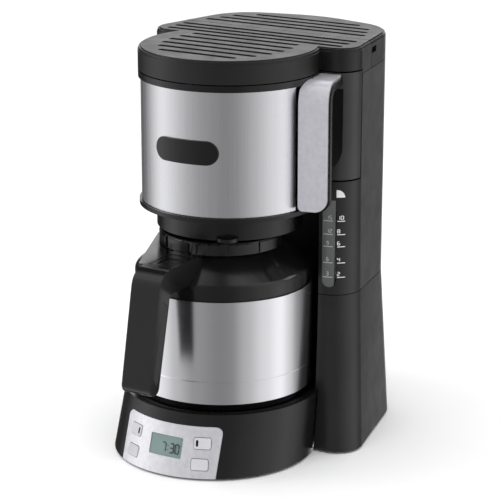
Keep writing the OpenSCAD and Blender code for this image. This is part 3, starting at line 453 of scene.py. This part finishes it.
low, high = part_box("display_window")
middle = (low + high) / 2
ahead = Vector((middle.x, low.y - 0.05, middle.z))
hit, normal, _, _ = ray_target("display_window").ray_cast(ahead, BACKWARD)
if normal.y > 0:
    normal = -normal
right = Vector((1, 0, 0))
up = normal.cross(right)
if up.z < 0:
    up = -up
cells, wide = numeral_cells("7:30", digit_w, digit_h, digit_stroke, digit_gap)
start = hit + right * ((digits_right - wide) * MM) - up * (digits_drop * MM)
start += normal * digits_lift
lay(
    "clock_digits", cells, start, right, up, normal,
    digits_thick, lcd_ink, "machine",
)

# the water gauge's print: ticks, numerals and tabs that follow the curved faces

gauge_low, gauge_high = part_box("gauge_window")
_, marks_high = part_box("gauge_marks")
tick_z = [146.5, 159.0, 173.0, 183.5, 195.0]
tick_h, tick_cells, above_tick = 0.7, 8, 1.5
numeral_w, numeral_h, numeral_stroke, numeral_gap = 1.5, 3.0, 0.55, 0.9
tab_h, tab_cells, tab_curve, tab_least = 6.4, 10, 2.6, 0.02
proud, sunk = 0.0001, 0.0002


def strip(x0, x1, z, heights):
    """A strip on a level foot, as a row of cells so that it can follow a curved face."""
    step = (x1 - x0) / (len(heights) - 1)
    shapes = []
    for i, (left, right) in enumerate(zip(heights, heights[1:])):
        near, far = x0 + i * step, x0 + (i + 1) * step
        shapes.append([(near, z), (far, z), (far, z + right), (near, z + left)])
    return shapes


def tab(x0, x1, z, high):
    """A tab with a flat foot and a top that rounds down towards its far side."""
    falls = [max(tab_least, 1 - (i / tab_cells) ** tab_curve) for i in range(tab_cells + 1)]
    return strip(x0, x1, z, [high * math.sqrt(fall) for fall in falls])


def scale(left, right, numeral_left, labels):
    """Ticks from left to right, each with its numeral above it."""
    shapes = []
    for z, label in zip(tick_z, labels):
        shapes += strip(left, right, z, [tick_h] * (tick_cells + 1))
        cells, _ = numeral_cells(label, numeral_w, numeral_h, numeral_stroke, numeral_gap)
        foot = z + tick_h + above_tick - numeral_h / 8
        shapes += [[(x + numeral_left, y + foot) for x, y in cell] for cell in cells]
    return shapes


def print_on(name, node, shapes, material):
    """Thin print on an upright face. Shapes are x and z in mm; each point finds the face."""
    target = ray_target(node)
    bm = bmesh.new()
    for shape in shapes:
        front, back = [], []
        for x, z in shape:
            found = target.ray_cast(Vector((x * MM, -0.3, z * MM)), BACKWARD)[0]
            front.append((x * MM, found.y - proud, z * MM))
            back.append((x * MM, found.y + sunk, z * MM))
        prism(bm, front, back)
    bmesh.ops.remove_doubles(bm, verts=bm.verts, dist=1e-6)
    return place(name, bm, material, "machine")


window_left, window_right = gauge_low.x / MM, gauge_high.x / MM
casing_left, casing_right = window_right + 0.5, window_right + 6.2
window_shapes = scale(
    window_left + 1.0, window_right - 2.4, window_left + 4.0, ("3", "6", "9", "12", "15")
)
casing_shapes = scale(
    casing_left, casing_right, window_right + 1.4, ("2", "4", "6", "8", "10")
)
tab_shapes = tab(window_right + 0.6, casing_right, marks_high.z / MM - tab_h, tab_h)
print_on("gauge_print_window", "gauge_window", window_shapes, grey_ink)
casing_print = print_on("gauge_print_casing", "tank_housing", casing_shapes, white_ink)
print_on("gauge_tab", "tank_housing", tab_shapes, white_ink)
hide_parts("gauge_marks")


# ---- studio ----


# degrees round from the front towards +X, and the brightness there
TENT_STOPS = [
    (-180, 0.7), (-170, 1.2), (-142, 1.2), (-130, 0.06), (-104, 0.06), (-84, 0.6),
    (-66, 1.15), (-50, 0.85), (-30, 0.55), (-4, 0.33), (28, 0.24), (42, 0.26), (62, 0.5),
    (86, 0.8), (112, 1.1), (126, 0.75), (142, 0.3), (160, 0.08), (176, 0.3), (180, 0.7),
]
TENT_STRENGTH = 1.05
TENT_RADIUS = 4.0


def emission_dome():
    """A tent seen only in reflections: a dim front, with bright panels to the left and right."""
    bpy.ops.mesh.primitive_uv_sphere_add(segments=64, ring_count=32, radius=TENT_RADIUS)
    dome = bpy.context.object
    dome.name = "reflection_tent"
    mat = bpy.data.materials.new("reflection_tent")
    mat.use_nodes = True
    tree = mat.node_tree
    tree.nodes.clear()
    coord = tree.nodes.new("ShaderNodeTexCoord").outputs["Object"]
    split = tree.nodes.new("ShaderNodeSeparateXYZ")
    tree.links.new(coord, split.inputs[0])
    back = tree.nodes.new("ShaderNodeMath")
    back.operation = "MULTIPLY"
    back.inputs[1].default_value = -1
    tree.links.new(split.outputs["Y"], back.inputs[0])
    turn = tree.nodes.new("ShaderNodeMath")
    turn.operation = "ARCTAN2"
    tree.links.new(split.outputs["X"], turn.inputs[0])
    tree.links.new(back.outputs[0], turn.inputs[1])
    unit = tree.nodes.new("ShaderNodeMapRange")
    unit.inputs["From Min"].default_value = -math.pi
    unit.inputs["From Max"].default_value = math.pi
    tree.links.new(turn.outputs[0], unit.inputs["Value"])
    ramp = tree.nodes.new("ShaderNodeValToRGB")
    ramp.color_ramp.interpolation = "EASE"
    while len(ramp.color_ramp.elements) < len(TENT_STOPS):
        ramp.color_ramp.elements.new(0.5)
    for element, (angle, value) in zip(ramp.color_ramp.elements, TENT_STOPS):
        element.position = (angle + 180) / 360
        element.color = (value, value, value * 1.01, 1)
    tree.links.new(unit.outputs["Result"], ramp.inputs["Fac"])
    glow = tree.nodes.new("ShaderNodeEmission")
    glow.inputs["Strength"].default_value = TENT_STRENGTH
    tree.links.new(ramp.outputs["Color"], glow.inputs["Color"])
    out = tree.nodes.new("ShaderNodeOutputMaterial")
    tree.links.new(glow.outputs[0], out.inputs["Surface"])
    dome.data.materials.append(mat)
    dome.visible_camera = False
    dome.visible_diffuse = False
    dome.visible_shadow = False
    dome.visible_transmission = False


def area(name, at, toward, size, power, reflected=False):
    """A rectangular light aimed at a point."""
    data = bpy.data.lights.new(name, "AREA")
    data.shape = "RECTANGLE"
    data.size, data.size_y = size
    data.energy = power
    light = bpy.data.objects.new(name, data)
    light.location = at
    light.rotation_euler = (Vector(toward) - Vector(at)).to_track_quat("-Z", "Y").to_euler()
    light.visible_glossy = reflected
    scene.collection.objects.link(light)
    return light


emission_dome()
area("overhead", (-0.3, -0.4, 2.2), (0, 0, 0.1), (2.4, 2.4), 16)
area("left_panel", (-1.6, -0.9, 1.0), (0, 0, 0.15), (0.7, 1.4), 7, True)
area("rim", (1.0, 1.6, 1.3), (0, 0, 0.2), (1.2, 0.6), 4, True)

world = bpy.data.worlds.new("studio")
world.use_nodes = True
world.node_tree.nodes["Background"].inputs["Color"].default_value = (1, 1, 1, 1)
world.node_tree.nodes["Background"].inputs["Strength"].default_value = 1.0
scene.world = world

bpy.ops.mesh.primitive_grid_add(x_subdivisions=8, y_subdivisions=8, size=16)
floor = bpy.context.object
floor.name = "floor"
ground = Graph("floor_paper")
ground.tone(ground.noise((3, 3, 3), 2), [(0.3, (0.93, 0.93, 0.93)), (0.7, (0.95, 0.95, 0.95))])
ground.set(Roughness=0.9, Specular_IOR_Level=0.1)
floor.data.materials.append(ground.mat)
floor.visible_glossy = False

camera_data = bpy.data.cameras.new("camera")
camera_data.lens = 157.41
camera_data.sensor_width = 36
camera_data.clip_end = 50
camera = bpy.data.objects.new("camera", camera_data)
camera.location = (0.9303, -1.4975, 0.6761)
camera.rotation_euler = (math.radians(73.78), 0, math.radians(31.42))
scene.collection.objects.link(camera)
scene.camera = camera
scene.view_settings.view_transform = "Standard"
scene.view_settings.look = "None"

bpy.context.view_layer.update()
